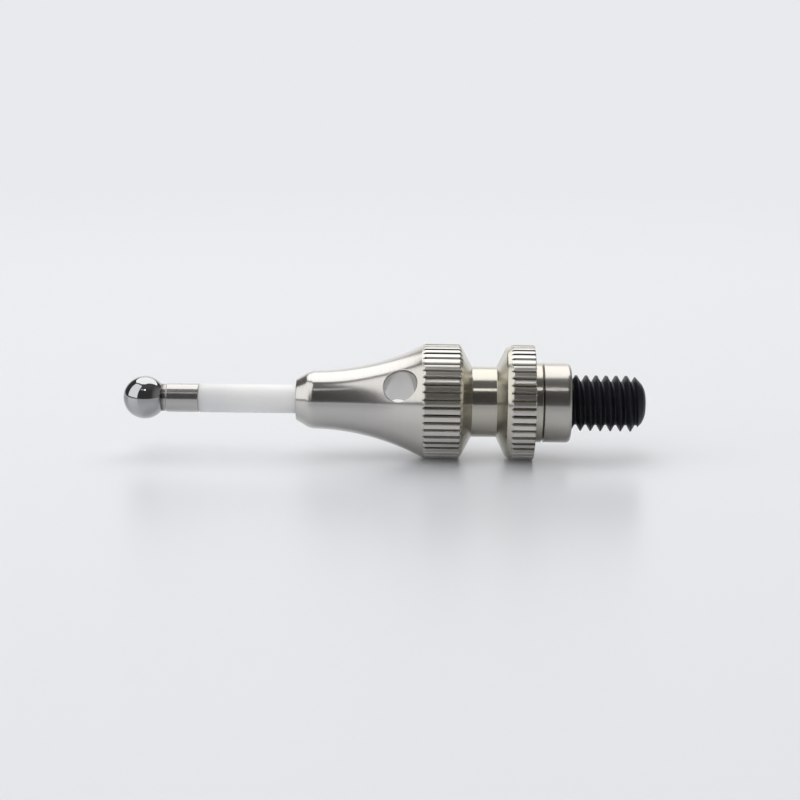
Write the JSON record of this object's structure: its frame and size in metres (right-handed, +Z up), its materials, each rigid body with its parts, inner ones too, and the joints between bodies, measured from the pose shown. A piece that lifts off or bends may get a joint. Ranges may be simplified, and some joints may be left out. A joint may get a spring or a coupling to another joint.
{
  "type": "ball stylus for a coordinate measuring machine",
  "caption": "Probe stylus with a polished ball on a white ceramic stem, held in a flared metal body with knurled rings and a black threaded stud.",
  "frame": {"origin": "on the axis, at the centre of the collar's flat seat that meets the probe", "axes": "+X along the axis out of the stud, so the ball is at -X; +Z up as the stylus lies on its two knurled rings; the picture is taken from -Y"},
  "size_m": [0.0364, 0.008, 0.008],
  "materials": {
    "polished_ball": "mirror polished",
    "stainless_steel": "fine turned and polished",
    "white_ceramic": "ground, satin",
    "turned_steel": "fine turned, knurled rings",
    "ground_steel": "ground",
    "black_oxide_steel": "black oxide, oiled"
  },
  "bodies": {
    "root": {"tip_ball": "polished_ball", "ball_ferrule": "stainless_steel", "ceramic_stem": "white_ceramic", "stylus_body": "turned_steel", "seat_collar": "ground_steel", "threaded_stud": "black_oxide_steel"}
  },
  "joints": []
}
